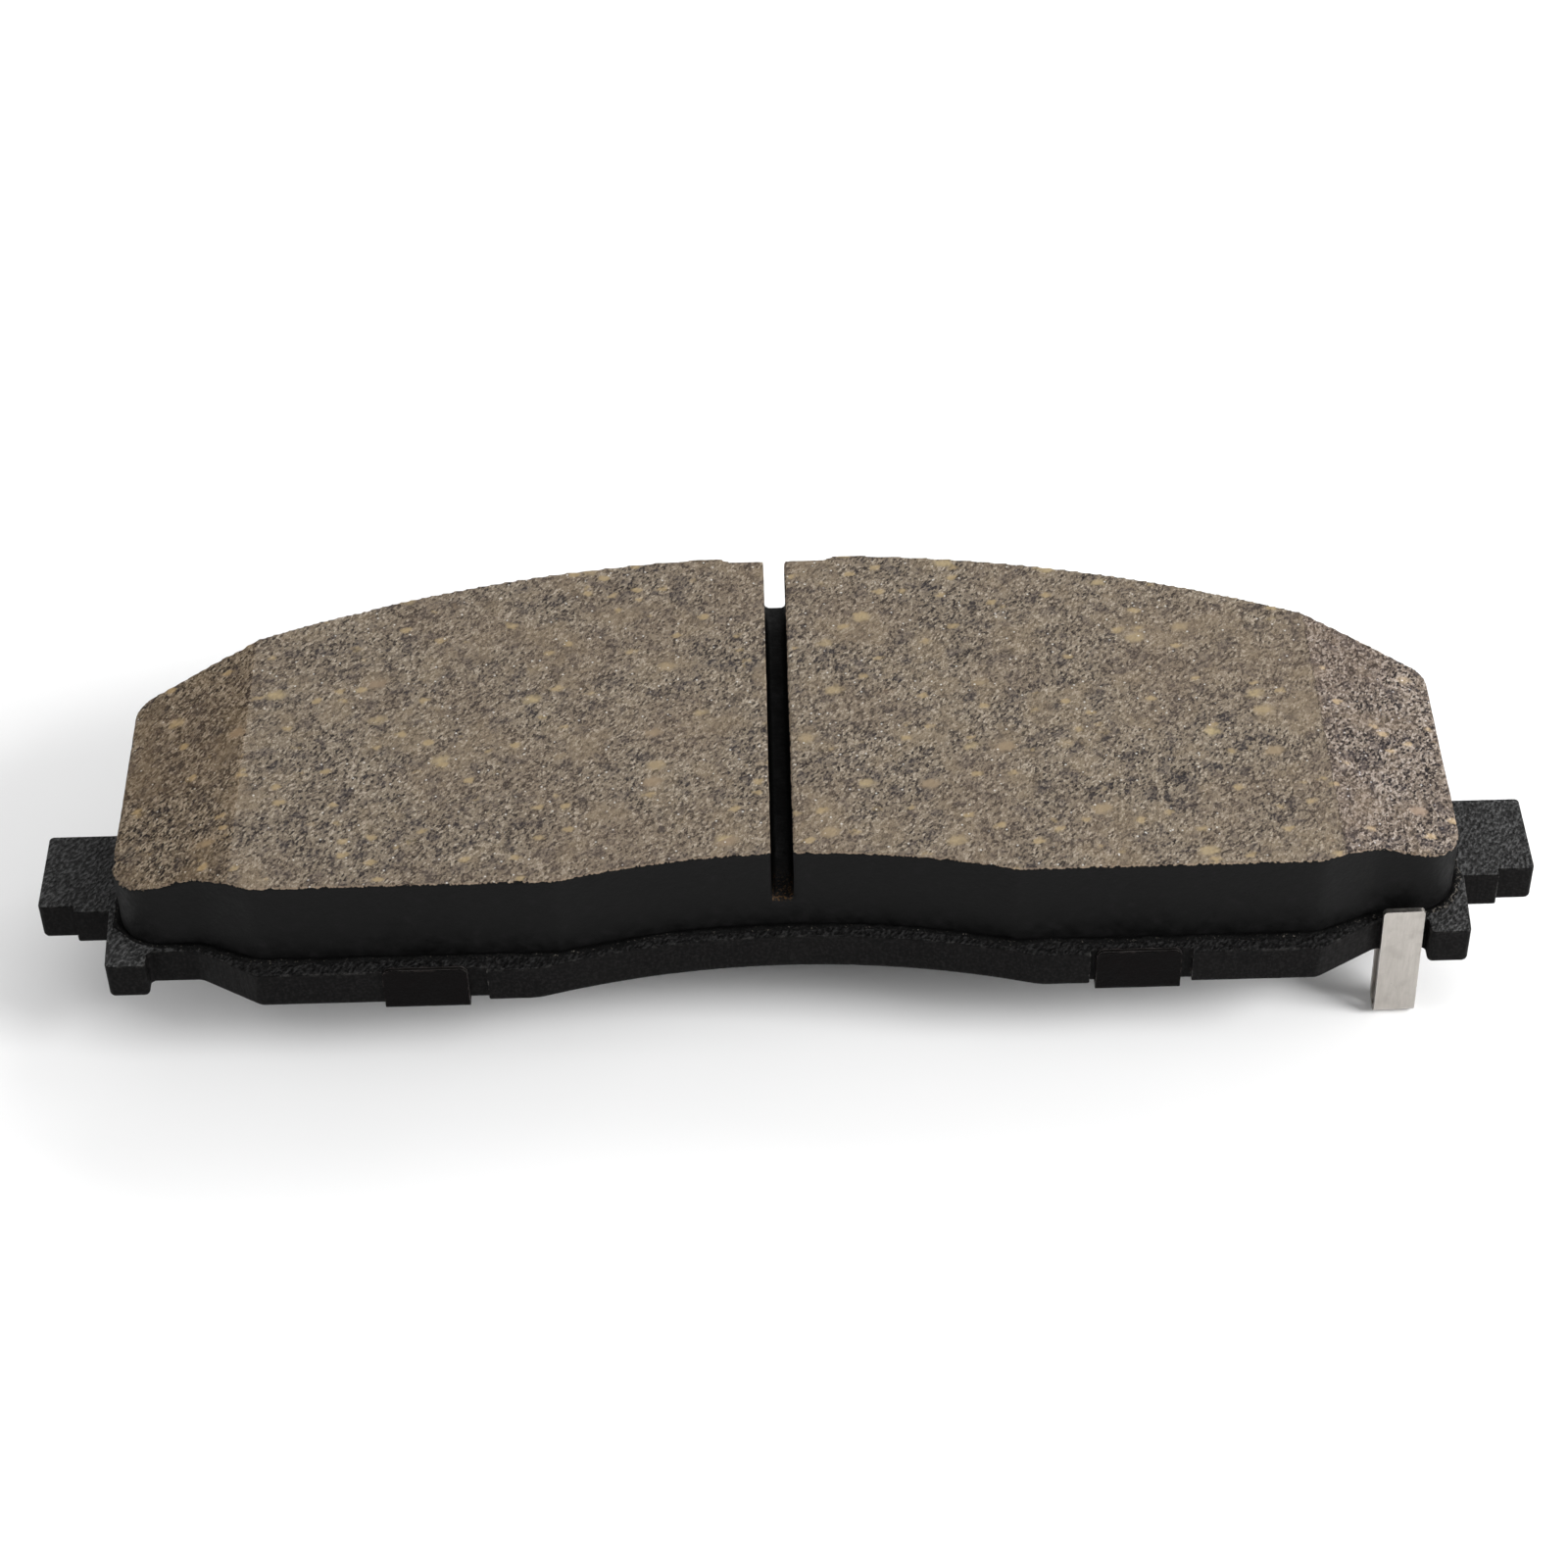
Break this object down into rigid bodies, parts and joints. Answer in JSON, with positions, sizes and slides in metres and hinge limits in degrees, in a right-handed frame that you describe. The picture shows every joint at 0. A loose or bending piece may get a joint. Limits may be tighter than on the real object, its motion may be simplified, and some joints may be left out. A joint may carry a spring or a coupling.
{
  "type": "disc brake pad",
  "caption": "Disc brake pad: chamfered, slotted friction block on an eared steel plate, with a folded-tab shim behind it and a sprung wear indicator.",
  "frame": {"origin": "on the back face of the shim, on the pad's centre line, in the middle of the area that the caliper piston pushes", "axes": "+X along the pad's length, +Y radially outward (away from the axle), +Z out of the friction face, towards the disc"},
  "size_m": [0.1846, 0.0633, 0.0287],
  "materials": {
    "plate_coating": "satin black coat over shot-blasted steel",
    "bonding_film": "cured phenolic film",
    "underlayer_compound": "matt, dark, granular",
    "friction_compound": "ground, speckled, matt",
    "shim_rubber_coat": "matt rubber coat",
    "shim_steel": "cold-rolled sheet",
    "shim_glue": "pressure-sensitive film",
    "spring_steel": "satin stainless spring strip",
    "rivet_steel": "zinc-plated steel"
  },
  "bodies": {
    "root": {"backing_plate": "plate_coating", "bonding_adhesive": "bonding_film", "underlayer": "underlayer_compound", "friction_lining": "friction_compound", "shim_inner_rubber": "shim_rubber_coat", "shim_steel_core": "shim_steel", "shim_outer_rubber": "shim_rubber_coat", "shim_adhesive": "shim_glue", "wear_indicator": "spring_steel", "wear_indicator_rivet": "rivet_steel"}
  },
  "joints": []
}
